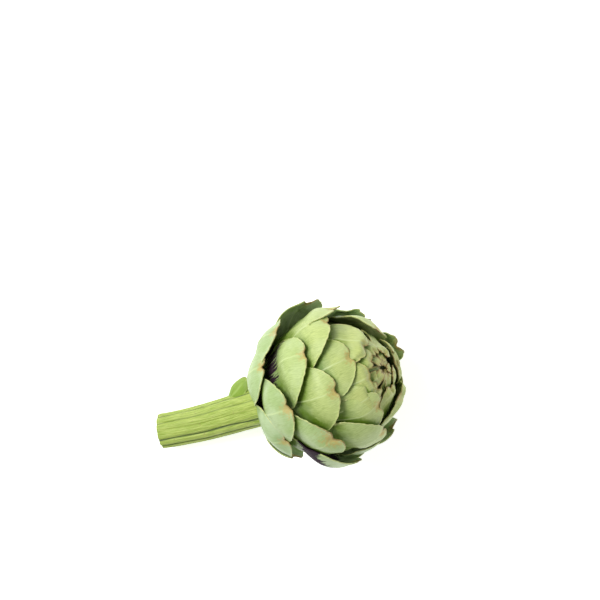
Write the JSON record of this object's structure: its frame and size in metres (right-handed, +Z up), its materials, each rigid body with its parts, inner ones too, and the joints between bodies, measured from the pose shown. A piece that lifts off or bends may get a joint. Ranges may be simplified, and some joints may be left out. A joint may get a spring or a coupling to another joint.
{
  "type": "artichoke",
  "caption": "Fresh globe artichoke lying on its side: a closed head of overlapping fleshy bracts on a short ribbed stem with one small stem leaf.",
  "frame": {"origin": "on the small flat spot that the head rests on, close under the centre of mass", "axes": "+Z up, +X the way the head points away from its stem, seen in plan"},
  "size_m": [0.1649, 0.103, 0.095],
  "materials": {
    "bract": "waxy fresh green bract, satin",
    "stem": "ribbed yellow-green stem, matte"
  },
  "bodies": {
    "root": {"head": "bract", "stem": "stem"}
  },
  "joints": []
}
